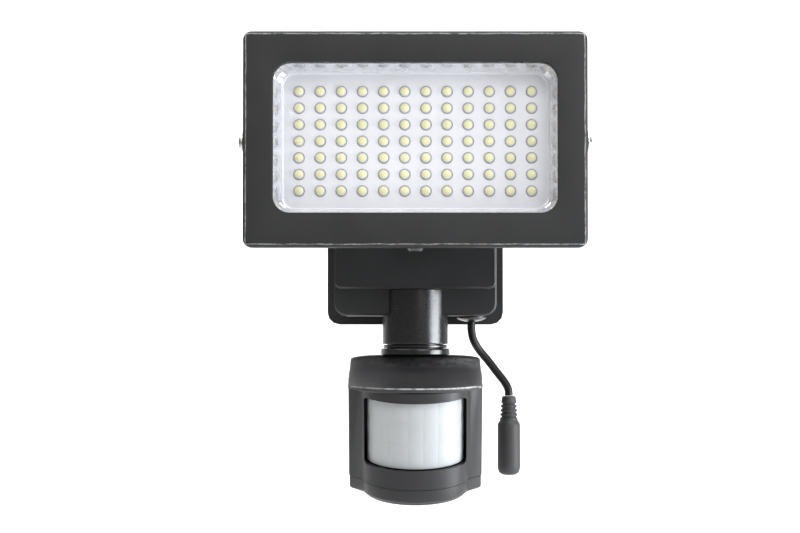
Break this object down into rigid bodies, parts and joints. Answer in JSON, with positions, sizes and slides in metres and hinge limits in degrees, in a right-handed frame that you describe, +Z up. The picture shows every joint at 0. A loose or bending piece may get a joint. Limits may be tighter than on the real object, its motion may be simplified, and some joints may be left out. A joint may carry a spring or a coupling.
{
  "type": "motion sensor floodlight",
  "caption": "Wall-mounted LED floodlight on a tilting yoke, with a motion sensor on a swivelling neck and a short socket lead.",
  "frame": {"origin": "middle of the wall plate's back face, on the wall", "axes": "+Z up, +Y into the wall, the light faces -Y, +X to the right seen from the front"},
  "size_m": [0.1722, 0.11, 0.2318],
  "materials": {
    "bezel_paint": "fine-textured satin black paint, worn light along the edges",
    "housing_paint": "textured satin black paint",
    "box_plastic": "satin black with a fine moulded grain",
    "neck_plastic": "semi-gloss black",
    "sensor_plastic": "satin charcoal",
    "lens_plastic": "milky translucent white",
    "gasket_rubber": "matte black",
    "lead_jacket": "glossy black jacket",
    "connector_plastic": "matte dark grey",
    "contact_brass": "bare",
    "zinc_screw": "bright zinc",
    "plate_steel": "zinc-plated sheet",
    "reflector_white": "glossy white",
    "window_glass": "clear and flat",
    "board_green": "solder mask",
    "cell_wrap": "shrink film",
    "dial_plastic": "satin white"
  },
  "bodies": {
    "wall_unit": {"battery_cell_lower": "cell_wrap", "battery_cell_upper": "cell_wrap", "battery_holder": "box_plastic", "box_cover": "box_plastic", "cable_gland": "neck_plastic", "charge_board": "board_green", "contact_pin": "contact_brass", "cover_screw_1": "zinc_screw", "cover_screw_2": "zinc_screw", "cover_screw_3": "zinc_screw", "cover_screw_4": "zinc_screw", "front_shell": "box_plastic", "lead_connector": "connector_plastic", "neck_ring": "neck_plastic", "rear_shell": "box_plastic", "sensor_neck": "neck_plastic", "shell_gasket": "gasket_rubber", "shell_screw_1": "zinc_screw", "shell_screw_2": "zinc_screw", "shell_screw_3": "zinc_screw", "shell_screw_4": "zinc_screw", "solar_lead": "lead_jacket", "wall_plate": "plate_steel", "yoke": "housing_paint", "yoke_bolt": "zinc_screw", "yoke_nut": "zinc_screw"},
    "lamp_head": {"front_bezel": "bezel_paint", "glass_gasket": "gasket_rubber", "front_glass": "window_glass", "reflector_tray": "reflector_white", "led_board": "board_green", "head_housing": "housing_paint", "bezel_screw_1": "zinc_screw", "bezel_screw_2": "zinc_screw", "bezel_screw_3": "zinc_screw", "bezel_screw_4": "zinc_screw", "pivot_screw_left": "zinc_screw", "pivot_screw_right": "zinc_screw", "pivot_washer_left": "gasket_rubber", "pivot_washer_right": "gasket_rubber", "pivot_nut_left": "zinc_screw", "pivot_nut_right": "zinc_screw", "head_gland": "neck_plastic"},
    "sensor_swivel": {"collar_left": "neck_plastic", "collar_right": "neck_plastic", "swivel_arm": "neck_plastic", "hinge_pin": "zinc_screw"},
    "sensor_head": {"sensor_lid": "sensor_plastic", "sensor_body": "sensor_plastic", "fresnel_lens": "lens_plastic", "sensor_board": "board_green", "pir_detector": "zinc_screw", "sensor_base_cap": "sensor_plastic", "hinge_bracket": "sensor_plastic"},
    "time_dial": {"time_dial": "dial_plastic"},
    "light_dial": {"light_dial": "dial_plastic"}
  },
  "joints": [
    {"name": "head_tilt", "type": "hinge", "parent": "wall_unit", "child": "lamp_head", "pos_m": [0, -0.096, 0.036], "axis": [1, 0, 0], "range_deg": [-45, 45]},
    {"name": "sensor_pan", "type": "hinge", "parent": "wall_unit", "child": "sensor_swivel", "pos_m": [0, -0.0331, -0.066], "axis": [0, 0, 1], "range_deg": [-32, 32]},
    {"name": "sensor_tilt", "type": "hinge", "parent": "sensor_swivel", "child": "sensor_head", "pos_m": [0, -0.013, -0.074], "axis": [1, 0, 0], "range_deg": [0, 10]},
    {"name": "time_dial_turn", "type": "hinge", "parent": "sensor_head", "child": "time_dial", "pos_m": [-0.011, -0.0416, -0.13697], "axis": [0, 0.1822, -0.9833], "range_deg": [-135, 135]},
    {"name": "light_dial_turn", "type": "hinge", "parent": "sensor_head", "child": "light_dial", "pos_m": [0.011, -0.0416, -0.13697], "axis": [0, 0.1822, -0.9833], "range_deg": [-135, 135]}
  ]
}
